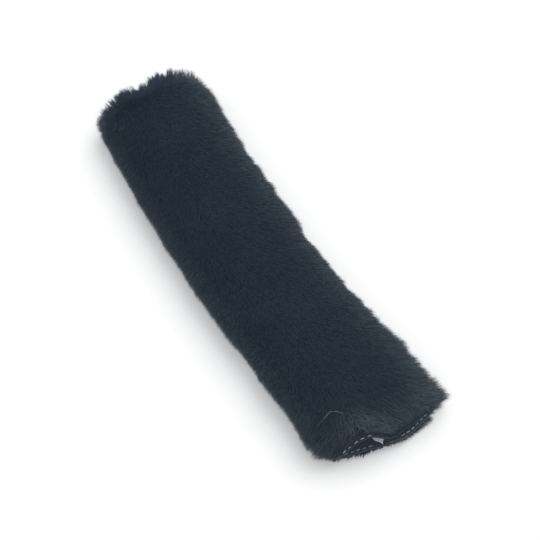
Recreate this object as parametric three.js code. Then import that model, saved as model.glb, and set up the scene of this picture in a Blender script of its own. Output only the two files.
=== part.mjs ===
// Shoulder pad for a car's seat belt: one sheet of long-pile plush folded into a flat tube.
// The belt runs through the tube. The sheet's two long edges meet in a slit on the underside,
// which a hook tape and a loop tape close, and both ends have a turned hem with a stitched seam.
// Millimetres, +Z up. X runs along the pad, with the open mouth that faces the viewer at +X,
// Y runs across it, and the pad lies on its pressed pile at Z = 0.

import * as THREE from 'three';

// The sheet and the tube that it is folded into.
const padLength = 264;
const cavityWidth = 56.6;
const foldRadius = 4.6;
const backingThickness = 1.4;
const crownRise = 1.2;
const crownSkew = 0.45;
const bowDepth = 4.4;
const bowSwing = 0.6;

// The mouth gapes on its left and is pinched on its right, up to this far into the tube. Its
// edge slants, further out on the right, and its lower ply reaches out beyond the upper one.
const mouthLift = 1.4;
const mouthPinch = 1.2;
const mouthReach = 45;
const lowerPlyReach = 2.4;
const mouthSlant = 4.4;

// The pile: how long it stands, how deep the partings between its tufts are, and how it lies.
const pileLength = 7.1;
const pressedPile = 5;
const valleyShare = 0.72;
const tuftSize = 5.7;
const pressedTuftSize = 9.5;
const tuftLean = 0.34;
const tuftScatter = 0.22;
const rippleDepth = 0.6;
const rippleLength = 34;
const partingDepth = 2.6;
const partingWidth = 6;
const partingsFromMouth = [78, 104, 152];

// The hems at the two ends: a bare band, the turned-in ply and the valley that its seam pulls.
const hemBand = 2.4;
const hemDepth = 7;
const hemPly = 0.6;
const seamInset = 1.8;
const seamValley = 0.5;
const seamHalfWidth = 0.9;
const endTaper = 11;
const endPileShare = 0.5;
const mouthOverhang = 2.4;
const farOverhang = 14;

// The slit on the underside, and the gap that its two edges leave behind the hem of the mouth.
const slitPlace = -5;
const slitWidth = 0.9;
const slitTaper = 7;
const slitPileShare = 0.12;
const gapSpread = 2.9;
const gapPeakInset = 5;
const gapEndInset = 20;

// The two closing tapes.
const hookTapeWidth = 16;
const hookTapeInset = 1.4;
const tapeThickness = 0.6;
const loopTapeWidth = 22;
const loopTapeMargin = 6;
const loopPile = 0.2;
const hookHeight = 1;
const hookWidth = 0.5;
const hookReach = 0.45;
const hookPitch = 1.9;
const hookEdge = 2.4;
const hookTapeEndInset = 2.9;
const loopTapeEndInset = 12.6;
const tapeRampStart = 12;
const tapeRampEnd = 9;

// Sewing thread.
const threadDiameter = 0.5;
const hemStitch = 3;
const tapeStitch = 5.5;
const stitchRise = 0.3;
const threadSides = 4;
const seamEndInset = 2.5;
const seamEdgeInset = 1.3;

// Clearance between pieces that touch.
const clearance = 0.3;

// What follows from the sizes above.
const halfLength = padLength / 2;
const straightHalf = cavityWidth / 2 - foldRadius;
const innerFloor = pressedPile + backingThickness;
const innerRowStep = 30;
const threadRadius = threadDiameter / 2;

const plushMaterial = new THREE.MeshStandardMaterial({ color: 0x252e37, roughness: 0.95 });
const tapeMaterial = new THREE.MeshStandardMaterial({ color: 0x1b2027, roughness: 0.8 });
const hookMaterial = new THREE.MeshStandardMaterial({ color: 0x20252b, roughness: 0.55 });
const threadMaterial = new THREE.MeshStandardMaterial({ color: 0xb9bdc0, roughness: 0.7 });

// A repeatable number from 0 to 1 for a tuft's place in the pile.
function scatter(row, column, salt) {
  const mixed = Math.sin(row * 12.9898 + column * 78.233 + salt * 37.719) * 43758.5453;
  return mixed - Math.floor(mixed);
}

function signedScatter(row, column, salt) {
  return 2 * scatter(row, column, salt) - 1;
}

// 0 below low, 1 above high, and smooth between them.
function ease(value, low, high) {
  return THREE.MathUtils.smoothstep(value, low, high);
}

// How far the pad's middle line lies to the side at a place along it.
function bow(x) {
  const share = x / halfLength;
  return bowDepth * (share * share - 0.5) + bowSwing * share ** 3;
}

// How far each edge of the slit stands from the slit's middle. Behind the hem of the mouth
// the two edges part, and they meet again where the tapes hold them.
function slitSpread(x) {
  const inset = halfLength - x;
  const opening = ease(inset, 0, gapPeakInset) * (1 - ease(inset, gapPeakInset, gapEndInset));
  return slitWidth / 2 + gapSpread * opening;
}

// How far the upper ply stands over its usual height at the mouth, at a share of its half width.
function mouthFormAt(x, across) {
  const near = 1 - ease(halfLength - x, 0, mouthReach);
  const lift = mouthLift * ease(-across, -0.25, 0.55) * (1 - ease(-across, 0.55, 1));
  const pinch = mouthPinch * ease(across, 0, 0.5) * (1 - ease(across, 0.5, 1));
  return near * (lift - pinch);
}

// The five runs of the folded section, from the slit's right edge round to its left edge.
const RIGHT_FLAP = 0;
const RIGHT_FOLD = 1;
const UPPER_PLY = 2;
const LEFT_FOLD = 3;
const LEFT_FLAP = 4;

function runLengths(x) {
  const spread = slitSpread(x);
  const fold = Math.PI * foldRadius;
  return [straightHalf - slitPlace - spread, fold, 2 * straightHalf, fold,
    straightHalf + slitPlace - spread];
}

// The inner face of the folded sheet, as the point and the outward normal at a share of a run.
function sectionAt(x, run, share) {
  const spread = slitSpread(x);
  if (run === RIGHT_FLAP) {
    const y = THREE.MathUtils.lerp(slitPlace + spread, straightHalf, share);
    return { y, z: 0, normalY: 0, normalZ: -1 };
  }
  if (run === LEFT_FLAP) {
    const y = THREE.MathUtils.lerp(-straightHalf, slitPlace - spread, share);
    return { y, z: 0, normalY: 0, normalZ: -1 };
  }
  if (run === UPPER_PLY) {
    const y = THREE.MathUtils.lerp(straightHalf, -straightHalf, share);
    const across = y / straightHalf;
    const crown = crownRise * (1 - across * across) * (1 - crownSkew * across);
    const form = crown + mouthFormAt(x, across);
    return { y, z: 2 * foldRadius + form, normalY: 0, normalZ: 1 };
  }
  const side = run === RIGHT_FOLD ? 1 : -1;
  const turn = Math.PI * (run === RIGHT_FOLD ? share - 0.5 : 0.5 - share);
  return {
    y: side * (straightHalf + foldRadius * Math.cos(turn)),
    z: foldRadius * (1 + Math.sin(turn)),
    normalY: side * Math.cos(turn),
    normalZ: Math.sin(turn),
  };
}

// How far the cloth at the mouth stands out from a square edge. Lower is 1 on the lower ply
// and 0 on the upper one, and y is the place across the pad, measured from its middle line.
function mouthStep(x, y, lower) {
  const near = 1 - ease(halfLength - x, 0, mouthReach);
  const across = THREE.MathUtils.clamp(y / straightHalf, -1, 1);
  return near * (lowerPlyReach * lower + (mouthSlant * across) / 2);
}

function lowerShareAt(run, share) {
  if (run === RIGHT_FOLD) return 1 - ease(share, 0, 1);
  if (run === LEFT_FOLD) return ease(share, 0, 1);
  return run === UPPER_PLY ? 0 : 1;
}

// A point of the sheet, raised from its inner face by an outward distance (inward if negative).
// Pile that would reach below the surface that the pad lies on is pressed flat there.
function sheetPoint(x, run, share, outward, place = x) {
  const at = sectionAt(x, run, share);
  return new THREE.Vector3(
    place + mouthStep(x, at.y, lowerShareAt(run, share)),
    bow(x) + at.y + at.normalY * outward,
    Math.max(0, innerFloor + at.z + at.normalZ * outward),
  );
}

// The run, and the share of it, at a distance along the inner face from the slit's right edge.
function stationAt(x, distance) {
  const lengths = runLengths(x);
  let left = distance;
  for (let run = RIGHT_FLAP; run < LEFT_FLAP; run += 1) {
    if (left <= lengths[run]) return { run, share: left / lengths[run] };
    left -= lengths[run];
  }
  return { run: LEFT_FLAP, share: Math.min(1, left / lengths[LEFT_FLAP]) };
}

// How much of its length the pile keeps near the slit, where the sheet was cut.
function slitShareAt(x, run, share) {
  const lengths = runLengths(x);
  if (run !== RIGHT_FLAP && run !== LEFT_FLAP) return 1;
  const fromEdge = lengths[run] * (run === RIGHT_FLAP ? share : 1 - share);
  return THREE.MathUtils.lerp(slitPileShare, 1, ease(fromEdge, 0, slitTaper));
}

// How much of its length the pile keeps near the two hems.
function endShareAt(x) {
  const inset = halfLength - Math.abs(x);
  return THREE.MathUtils.lerp(endPileShare, 1, Math.sqrt(ease(inset, hemBand, endTaper)));
}

// Broad waves in the lie of the pile, and the partings across its right fold.
function pileReliefAt(x, run, share) {
  const wave = Math.sin((2 * Math.PI * x) / rippleLength + 2.1 * (run + share));
  const drift = Math.sin((2 * Math.PI * x) / (2.3 * rippleLength) - 1.7 * (run + share));
  let relief = rippleDepth * (0.6 * wave + 0.4 * drift);
  if (run === RIGHT_FOLD || run === UPPER_PLY) {
    const round = Math.abs(run + share - (RIGHT_FOLD + 0.65));
    for (const fromMouth of partingsFromMouth) {
      const along = Math.abs(halfLength - fromMouth - x);
      relief -= partingDepth * (1 - ease(along, 0, partingWidth)) * (1 - ease(round, 0, 0.5));
    }
  }
  return relief;
}

function pileAt(x, run, share) {
  const length = pileLength + pileReliefAt(x, run, share);
  return length * slitShareAt(x, run, share) * endShareAt(x);
}

// The columns of tufts round the section. Pressed pile on the flaps has broader tufts.
function tuftColumns() {
  const outerFold = Math.PI * (foldRadius + backingThickness + pileLength);
  const [rightFlap, , upperPly, , leftFlap] = runLengths(0);
  const counts = [
    Math.ceil(rightFlap / pressedTuftSize),
    Math.ceil(outerFold / tuftSize),
    Math.ceil(upperPly / tuftSize),
    Math.ceil(outerFold / tuftSize),
    Math.ceil(leftFlap / pressedTuftSize),
  ];
  const columns = [{ run: RIGHT_FLAP, share: 0 }];
  counts.forEach((count, run) => {
    for (let step = 1; step <= count; step += 1) columns.push({ run, share: step / count });
  });
  return columns;
}

// The rows of tufts along the pad. The first and last cell are the bare band of a hem.
function tuftRows() {
  const furred = padLength - 2 * hemBand;
  const count = Math.ceil(furred / tuftSize);
  const rows = [-halfLength];
  for (let step = 0; step <= count; step += 1) {
    rows.push(-halfLength + hemBand + (furred * step) / count);
  }
  rows.push(halfLength);
  return rows;
}

// The rows of the inner face as a place and how far the face stands into the cavity there:
// the turned ply of a hem with its seam's valley, then the bare backing.
function innerRows() {
  const hem = [
    [0, hemPly],
    [seamInset - seamHalfWidth, hemPly],
    [seamInset, hemPly - seamValley],
    [seamInset + seamHalfWidth, hemPly],
    [hemDepth, hemPly],
    [hemDepth + hemPly, 0],
  ];
  const bare = padLength - 2 * (hemDepth + hemPly);
  const count = Math.ceil(bare / innerRowStep);
  const rows = hem.map(([inset, rise]) => ({ x: -halfLength + inset, rise }));
  for (let step = 1; step < count; step += 1) {
    rows.push({ x: -bare / 2 + (bare * step) / count, rise: 0 });
  }
  hem.reverse().forEach(([inset, rise]) => rows.push({ x: halfLength - inset, rise }));
  return rows;
}

// Collects points and faces, and makes them into a geometry.
class Skin {
  constructor() {
    this.places = [];
    this.faces = [];
  }

  point(vector) {
    this.places.push(vector.x, vector.y, vector.z);
    return this.places.length / 3 - 1;
  }

  height(index) {
    return this.places[3 * index + 2];
  }

  triangle(a, b, c) {
    this.faces.push(a, b, c);
  }

  quad(a, b, c, d) {
    this.triangle(a, b, c);
    this.triangle(a, c, d);
  }

  // Four faces that rise from a quad's edges to a tip.
  tuft(a, b, c, d, tip) {
    this.triangle(a, b, tip);
    this.triangle(b, c, tip);
    this.triangle(c, d, tip);
    this.triangle(d, a, tip);
  }

  // The wall between two chains of points that both run from the far end to the mouth.
  wall(first, second) {
    const along = (index) => this.places[3 * index];
    let i = 0;
    let j = 0;
    while (i < first.length - 1 || j < second.length - 1) {
      const firstIsNext = i < first.length - 1
        && (j === second.length - 1 || along(first[i + 1]) <= along(second[j + 1]));
      if (firstIsNext) {
        this.triangle(first[i], first[i + 1], second[j]);
        i += 1;
      } else {
        this.triangle(first[i], second[j + 1], second[j]);
        j += 1;
      }
    }
  }

  geometry() {
    const made = new THREE.BufferGeometry();
    made.setAttribute('position', new THREE.Float32BufferAttribute(this.places, 3));
    made.setIndex(this.faces);
    made.computeVertexNormals();
    return made;
  }
}

// A corner between four tufts, down in the parting.
function valleyPoint(rows, columns, i, j) {
  const { run, share } = columns[j];
  const lastRow = rows.length - 1;
  const x = rows[i];
  if (i === 0 || i === lastRow) return sheetPoint(x, run, share, backingThickness);
  const pile = pileAt(x, run, share);
  const edge = i === 1 || i === lastRow - 1;
  if (edge) return sheetPoint(x, run, share, backingThickness + 0.1 * pile);
  const onSlit = j === 0 || j === columns.length - 1;
  const sway = onSlit ? 0 : tuftScatter * tuftSize * signedScatter(i, j, 1);
  const depth = valleyShare * (1 + 0.5 * tuftScatter * signedScatter(i, j, 2));
  return sheetPoint(x, run, share, backingThickness + depth * pile, x + sway);
}

// The tip of a tuft. Tips lean to the sides, towards the mouth, and out over the hems.
function tipPoint(rows, columns, i, j) {
  const start = columns[j];
  const end = columns[j + 1];
  const run = end.run;
  const runStart = start.run === run ? start.share : 0;
  const outwards = run <= RIGHT_FOLD ? -1 : run >= LEFT_FOLD ? 1 : 0;
  const fromMiddle = run === UPPER_PLY ? 2 * (0.5 - 0.5 * (runStart + end.share)) : -outwards;
  const reach = 0.5 - 0.5 * tuftLean * fromMiddle + 0.5 * tuftScatter * signedScatter(i, j, 3);
  const share = THREE.MathUtils.lerp(runStart, end.share, THREE.MathUtils.clamp(reach, 0.2, 0.8));
  const sway = 0.5 + 0.5 * tuftLean + tuftScatter * signedScatter(i, j, 4);
  const x = THREE.MathUtils.lerp(rows[i], rows[i + 1], THREE.MathUtils.clamp(sway, 0.2, 0.85));
  const length = pileAt(x, run, share) * (1 + tuftScatter * signedScatter(i, j, 5));
  const nearEnd = 1 - ease(halfLength - Math.abs(x), 0, endTaper);
  const reachOut = x > 0 ? mouthOverhang : -farOverhang;
  const overhang = reachOut * nearEnd * slitShareAt(x, run, share);
  return sheetPoint(x, run, share, backingThickness + length, x + overhang);
}

// The plush sheet: tufted pile outside, the bare backing inside, the turned hems at the ends
// and the cut edges along the slit.
function plushCover() {
  const rows = tuftRows();
  const columns = tuftColumns();
  const skin = new Skin();
  const outer = rows.map((_, i) =>
    columns.map((__, j) => skin.point(valleyPoint(rows, columns, i, j))));
  for (let i = 0; i < rows.length - 1; i += 1) {
    for (let j = 0; j < columns.length - 1; j += 1) {
      const corners = [outer[i][j], outer[i][j + 1], outer[i + 1][j + 1], outer[i + 1][j]];
      const bare = i === 0 || i === rows.length - 2;
      const pressed = corners.every((corner) => skin.height(corner) === 0);
      if (bare || pressed) skin.quad(...corners);
      else skin.tuft(...corners, skin.point(tipPoint(rows, columns, i, j)));
    }
  }
  const inner = innerRows().map(({ x, rise }) =>
    columns.map(({ run, share }) => skin.point(sheetPoint(x, run, share, -rise))));
  for (let k = 0; k < inner.length - 1; k += 1) {
    for (let j = 0; j < columns.length - 1; j += 1) {
      skin.quad(inner[k][j], inner[k + 1][j], inner[k + 1][j + 1], inner[k][j + 1]);
    }
  }
  const lastOuter = outer.length - 1;
  const lastInner = inner.length - 1;
  const lastColumn = columns.length - 1;
  for (let j = 0; j < lastColumn; j += 1) {
    skin.quad(outer[0][j], inner[0][j], inner[0][j + 1], outer[0][j + 1]);
    skin.quad(outer[lastOuter][j], outer[lastOuter][j + 1], inner[lastInner][j + 1],
      inner[lastInner][j]);
  }
  skin.wall(outer.map((row) => row[0]), inner.map((row) => row[0]));
  skin.wall(inner.map((row) => row[lastColumn]), outer.map((row) => row[lastColumn]));
  return skin.geometry();
}

// The places along a tape that ends at this inset from both hems, with a ramp near each end.
function tapePlaces(endInset) {
  const end = halfLength - endInset;
  const ramp = [tapeRampEnd, tapeRampStart].filter((inset) => inset > endInset);
  const bare = halfLength - tapeRampStart;
  const last = Math.min(end, bare);
  const count = Math.ceil((2 * last) / innerRowStep);
  const places = Array.from({ length: count + 1 }, (_, step) => -last + (2 * last * step) / count);
  if (ramp.length < 2) return places;
  const rampEnd = halfLength - tapeRampEnd;
  return [-end, -rampEnd, ...places, rampEnd, end];
}

// How far a tape is raised where it runs on to the turned ply of a hem.
function tapeLift(x) {
  const inset = halfLength - Math.abs(x);
  return hemPly * THREE.MathUtils.clamp(
    (tapeRampStart - inset) / (tapeRampStart - tapeRampEnd), 0, 1);
}

// A section in Y and Z extruded along the pad through the given places, following its bow.
function alongPad(section, places) {
  const steps = places.length - 1;
  const made = new THREE.ExtrudeGeometry(section, {
    depth: steps, steps, bevelEnabled: false, curveSegments: 4,
  });
  // The section's own X and Y become the pad's Y and Z, and each step of its depth a place.
  const corner = made.getAttribute('position');
  for (let n = 0; n < corner.count; n += 1) {
    const x = places[Math.round(corner.getZ(n))];
    const y = corner.getX(n);
    corner.setXYZ(n, x + mouthStep(x, y, 1), y + bow(x), innerFloor + corner.getY(n) + tapeLift(x));
  }
  made.computeVertexNormals();
  return made;
}

const hookTapeLeft = slitPlace + slitWidth / 2 + hookTapeInset;
const hookTapeTop = clearance + tapeThickness;
const loopTapeLeft = slitPlace - slitWidth / 2 - loopTapeMargin;
const loopTapeUnder = hookTapeTop + hookHeight + clearance;
const loopTapeTop = loopTapeUnder + loopPile + tapeThickness;

// The hook tape on the right flap: a band with rows of hooks that all face the slit. It runs
// on to the hems, where its ends show at the mouth.
function hookTape() {
  const section = new THREE.Shape();
  const right = hookTapeLeft + hookTapeWidth;
  section.moveTo(hookTapeLeft, clearance);
  section.lineTo(right, clearance);
  section.lineTo(right, hookTapeTop);
  const count = Math.floor((hookTapeWidth - 2 * hookEdge - hookWidth - hookReach) / hookPitch) + 1;
  const first = hookTapeLeft + hookEdge + hookReach;
  for (let hook = count - 1; hook >= 0; hook -= 1) {
    const left = first + hook * hookPitch;
    section.lineTo(left + hookWidth, hookTapeTop);
    section.quadraticCurveTo(left + hookWidth, hookTapeTop + hookHeight,
      left - hookReach / 3, hookTapeTop + hookHeight);
    section.lineTo(left - hookReach, hookTapeTop + 0.62 * hookHeight);
    section.lineTo(left, hookTapeTop + 0.62 * hookHeight);
    section.lineTo(left, hookTapeTop);
  }
  section.lineTo(hookTapeLeft, hookTapeTop);
  section.closePath();
  return alongPad(section, tapePlaces(hookTapeEndInset));
}

// The loop tape: sewn to the left flap, it crosses the slit and lies on the hooks.
function loopTape() {
  const right = loopTapeLeft + loopTapeWidth;
  const stepStart = slitPlace - slitWidth / 2;
  const stepEnd = hookTapeLeft;
  const section = new THREE.Shape();
  section.moveTo(loopTapeLeft, clearance);
  section.lineTo(stepStart, clearance);
  section.lineTo(stepEnd, loopTapeUnder);
  section.lineTo(right, loopTapeUnder);
  section.lineTo(right, loopTapeTop);
  section.lineTo(stepEnd, loopTapeTop);
  section.lineTo(stepStart, clearance + tapeThickness);
  section.lineTo(loopTapeLeft, clearance + tapeThickness);
  section.closePath();
  return alongPad(section, tapePlaces(loopTapeEndInset));
}

// A sewing thread along a line of stitches: it arches over the cloth between stitch holes.
function thread(length, stitch, placeAt) {
  const stitches = Math.max(2, Math.round(length / stitch));
  const points = [];
  for (let half = 0; half <= 2 * stitches; half += 1) {
    const rise = half % 2 === 0 ? 0 : stitchRise;
    points.push(placeAt((length * half) / (2 * stitches), rise));
  }
  const section = new THREE.Shape();
  for (let side = 0; side < threadSides; side += 1) {
    const turn = (2 * Math.PI * side) / threadSides;
    const corner = [threadRadius * Math.cos(turn), threadRadius * Math.sin(turn)];
    if (side === 0) section.moveTo(...corner);
    else section.lineTo(...corner);
  }
  section.closePath();
  return new THREE.ExtrudeGeometry(section, {
    steps: 2 * stitches,
    extrudePath: new THREE.CatmullRomCurve3(points, false, 'centripetal'),
  });
}

// The seam of a hem, round the inner face from one edge of the slit to the other.
function hemThread(end) {
  const x = end * (halfLength - seamInset);
  const whole = runLengths(x).reduce((sum, run) => sum + run, 0);
  const bed = hemPly - seamValley + clearance + threadRadius;
  return thread(whole - 2 * seamEdgeInset, hemStitch, (distance, rise) => {
    const { run, share } = stationAt(x, distance + seamEdgeInset);
    return sheetPoint(x, run, share, -(bed + rise));
  });
}

// A straight seam along a tape, on top of the face that it is sewn through.
function tapeThread(y, face, endInset, rise) {
  const end = halfLength - endInset - seamEndInset;
  const height = innerFloor + face + clearance + threadRadius;
  return thread(2 * end, tapeStitch, (distance, lift) => {
    const x = distance - end;
    return new THREE.Vector3(x + mouthStep(x, y, 1), y + bow(x),
      height + tapeLift(x) + lift * rise);
  });
}

function piece(name, geometry, material) {
  const mesh = new THREE.Mesh(geometry, material);
  mesh.name = name;
  return mesh;
}

const hookSeamInset = hookEdge / 2;
const hookTapeRight = hookTapeLeft + hookTapeWidth;
const pad = new THREE.Group();
pad.add(
  piece('plush_cover', plushCover(), plushMaterial),
  piece('hook_tape', hookTape(), hookMaterial),
  piece('loop_tape', loopTape(), tapeMaterial),
  piece('mouth_hem_thread', hemThread(1), threadMaterial),
  piece('far_hem_thread', hemThread(-1), threadMaterial),
  piece('loop_tape_thread', tapeThread(loopTapeLeft + loopTapeMargin / 2,
    clearance + tapeThickness, loopTapeEndInset, 1), threadMaterial),
  piece('hook_tape_thread_slit_side', tapeThread(hookTapeLeft + hookSeamInset,
    hookTapeTop, hookTapeEndInset, 0), threadMaterial),
  piece('hook_tape_thread_fold_side', tapeThread(hookTapeRight - hookSeamInset,
    hookTapeTop, hookTapeEndInset, 0), threadMaterial),
);

// The origin is under the middle of the pad, on the surface that it lies on.
const extent = new THREE.Box3().setFromObject(pad);
pad.position.set(-(extent.min.x + extent.max.x) / 2, -(extent.min.y + extent.max.y) / 2,
  -extent.min.z);

export default pad;
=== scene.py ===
"""A shoulder pad for a car's seat belt, in black long-pile plush.

One sheet of plush is folded into a flat tube with its pile outside. The belt runs through the tube.
The sheet's long edges meet in a slit on the underside, which two tapes close, and its ends are
turned in as stitched hems. Lengths are in metres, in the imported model's frame: X runs along the pad
towards the open mouth, Y across it, and the pad lies on Z = 0.
"""

import logging
import math
from dataclasses import dataclass, field
from enum import Enum

import bpy
import numpy as np
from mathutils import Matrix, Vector


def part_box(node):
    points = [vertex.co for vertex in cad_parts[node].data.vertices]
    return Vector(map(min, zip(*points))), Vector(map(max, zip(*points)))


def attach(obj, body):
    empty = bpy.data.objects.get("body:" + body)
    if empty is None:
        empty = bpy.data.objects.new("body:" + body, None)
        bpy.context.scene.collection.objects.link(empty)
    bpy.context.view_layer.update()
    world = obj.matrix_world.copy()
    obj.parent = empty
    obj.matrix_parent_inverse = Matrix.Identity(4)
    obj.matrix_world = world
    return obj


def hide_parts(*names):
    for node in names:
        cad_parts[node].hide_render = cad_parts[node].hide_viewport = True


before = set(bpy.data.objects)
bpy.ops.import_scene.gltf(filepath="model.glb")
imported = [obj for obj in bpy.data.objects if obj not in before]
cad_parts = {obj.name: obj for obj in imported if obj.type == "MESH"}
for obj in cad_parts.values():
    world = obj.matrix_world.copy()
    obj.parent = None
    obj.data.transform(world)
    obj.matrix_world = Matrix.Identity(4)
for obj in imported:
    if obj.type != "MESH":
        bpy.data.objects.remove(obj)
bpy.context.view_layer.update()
MOUTH_SLANT = 0.0928  # how far the cut ends run along the pad for each metre across it
FRAY_LENGTH = 0.0011
log = logging.getLogger("shoulder_pad")

Array = np.ndarray
Colour = tuple[float, float, float]
ALONG = np.array([1.0, 0.0, 0.0])


def ease(value: Array, low: float, high: float) -> Array:
    """Rises smoothly from 0 to 1.

    Args:
        value: What is eased.
        low: Where the rise starts.
        high: Where it ends.

    Returns:
        0 below low, 1 above high, and smooth between them.
    """
    share = np.clip((value - low) / (high - low), 0.0, 1.0)
    return share * share * (3.0 - 2.0 * share)


def unit(vectors: Array) -> Array:
    """Scales each row of vectors to length 1."""
    return vectors / np.maximum(np.linalg.norm(vectors, axis=1, keepdims=True), 1e-12)


def flowing(value: Array, places: tuple[float, ...], heights: tuple[float, ...]) -> Array:
    """A smooth curve through given heights, level beyond the first and the last.

    Args:
        value: Where it is read.
        places: The places of the given heights, rising.
        heights: The heights there.

    Returns:
        The curve's heights.
    """
    spots, levels = np.array(places), np.array(heights)
    slopes = np.gradient(levels, spots)
    cell = np.clip(np.searchsorted(spots, value) - 1, 0, len(spots) - 2)
    width = spots[cell + 1] - spots[cell]
    share = np.clip((value - spots[cell]) / width, 0.0, 1.0)
    rise = share * share * (3 - 2 * share)
    start = share * (1 - share) ** 2 * width * slopes[cell]
    end = share * share * (share - 1) * width * slopes[cell + 1]
    return levels[cell] * (1 - rise) + levels[cell + 1] * rise + start + end


class Run(Enum):
    """The runs of the folded section, from the slit's right edge round to its left edge."""

    RIGHT_FLAP = 0
    RIGHT_FOLD = 1
    UPPER_PLY = 2
    LEFT_FOLD = 3
    LEFT_FLAP = 4


def run_of(turn: Array) -> Array:
    """The number of the run that each turn lies on."""
    return np.minimum(turn.astype(int), Run.LEFT_FLAP.value)


def on_flaps(turn: Array) -> Array:
    """Whether each turn lies on one of the two flaps under the pad."""
    return (turn < Run.RIGHT_FOLD.value) | (turn > Run.LEFT_FLAP.value)


def seen_from_above(turn: Array) -> Array:
    """Whether each turn lies between the right fold's middle and the left fold's lower side."""
    return (turn > 1.5) & (turn < 3.9)


@dataclass(frozen=True)
class MouthDrape:
    """How the cloth of the open mouth lies: gaping on its left, sunk in its middle and right.

    The tables run across the mouth, in half widths of the upper ply's straight part.
    """

    reach: float = 0.030
    step_reach: float = 0.045
    across: tuple[float, ...] = (
        -1.2, -1.0, -0.88, -0.7, -0.5, -0.28, -0.1, 0.05, 0.3, 0.6, 0.8, 1.0, 1.2)
    heights: tuple[float, ...] = (
        0.60, 0.78, 1.00, 1.07, 1.06, 0.80, 0.50, 0.42, 0.53, 0.58, 0.56, 0.42, 0.40)
    upper_across: tuple[float, ...] = (-1.2, -0.8, -0.6, -0.4, -0.2, 0.0, 0.3, 0.8, 1.2)
    upper_steps: tuple[float, ...] = (
        -0.0018, -0.0013, -0.0004, 0.0012, 0.0033, 0.0040, 0.0037, 0.0031, 0.0014)
    lower_across: tuple[float, ...] = (
        -1.2, -0.9, -0.6, -0.4, -0.2, 0.0, 0.3, 0.6, 0.8, 1.0, 1.2)
    lower_steps: tuple[float, ...] = (
        -0.0016, -0.0004, 0.0014, 0.0028, 0.0043, 0.0055, 0.0062, 0.0055, 0.0043, 0.0033, 0.0018)

    def height(self, inset: Array, across: Array) -> Array:
        """What the usual height over the lower ply is multiplied by, at a place in the mouth."""
        near = 1 - ease(inset, 0.0, self.reach)
        return 1 + near * (flowing(across, self.across, self.heights) - 1)

    def step(self, inset: Array, across: Array, lower: Array) -> Array:
        """How far the cloth stands out from a square edge, with 1 for lower on the lower ply."""
        near = 1 - ease(inset, 0.0, self.step_reach)
        above = flowing(across, self.upper_across, self.upper_steps)
        below = flowing(across, self.lower_across, self.lower_steps)
        return near * (above + lower * (below - above))


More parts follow.
